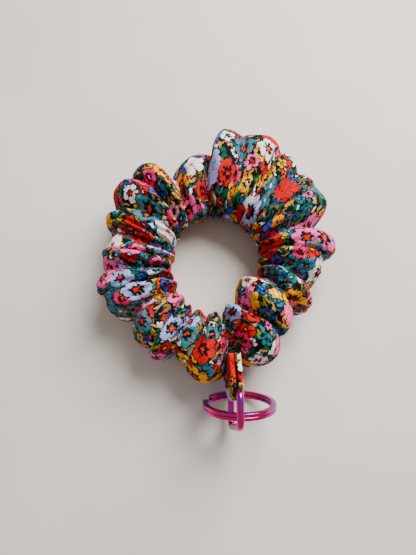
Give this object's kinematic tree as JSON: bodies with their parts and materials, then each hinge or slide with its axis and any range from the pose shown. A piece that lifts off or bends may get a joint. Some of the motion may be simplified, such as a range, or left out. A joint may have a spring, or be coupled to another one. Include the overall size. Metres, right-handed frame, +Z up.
{
  "type": "wristlet keychain",
  "caption": "Gathered elastic cloth band worn on the wrist, with a sewn cloth tab holding a rectangular wire link and a split ring for keys.",
  "frame": {"origin": "middle of the wrist opening, on the surface that the band lies on", "axes": "+Z up from the surface, +Y away from the hardware, +X to the right seen from above with the hardware nearest"},
  "size_m": [0.1068, 0.138, 0.0357],
  "materials": {
    "printed_cloth": "printed cotton jersey, matt",
    "elastic": "knitted white elastic",
    "thread": "black polyester sewing thread",
    "pink_metal": "glossy magenta-pink coloured plating over steel"
  },
  "bodies": {
    "band": {"cover": "printed_cloth", "elastic_band": "elastic", "elastic_join_stitches": "thread", "cover_seam_stitches": "thread", "cover_closing_stitches": "thread"},
    "tab": {"tab_strip": "printed_cloth", "tab_bar_stitches": "thread", "tab_edge_stitches": "thread"},
    "link": {"link": "pink_metal"},
    "ring": {"key_ring": "pink_metal"}
  },
  "joints": [
    {"name": "tab_flex", "type": "hinge", "parent": "band", "child": "tab", "pos_m": [0.0066, -0.04349, 0.01895], "axis": [0.0698, 0, 0.9976], "range_deg": [-8, 12]},
    {"name": "link_swing", "type": "hinge", "parent": "tab", "child": "link", "pos_m": [0.00769, -0.05735, 0.01895], "axis": [0.0698, 0, 0.9976], "range_deg": [-10, 20]},
    {"name": "ring_swing", "type": "hinge", "parent": "link", "child": "ring", "pos_m": [0.0096, -0.06618, 0.02761], "axis": [-1, 0, 0], "range_deg": [-3, 170]}
  ]
}
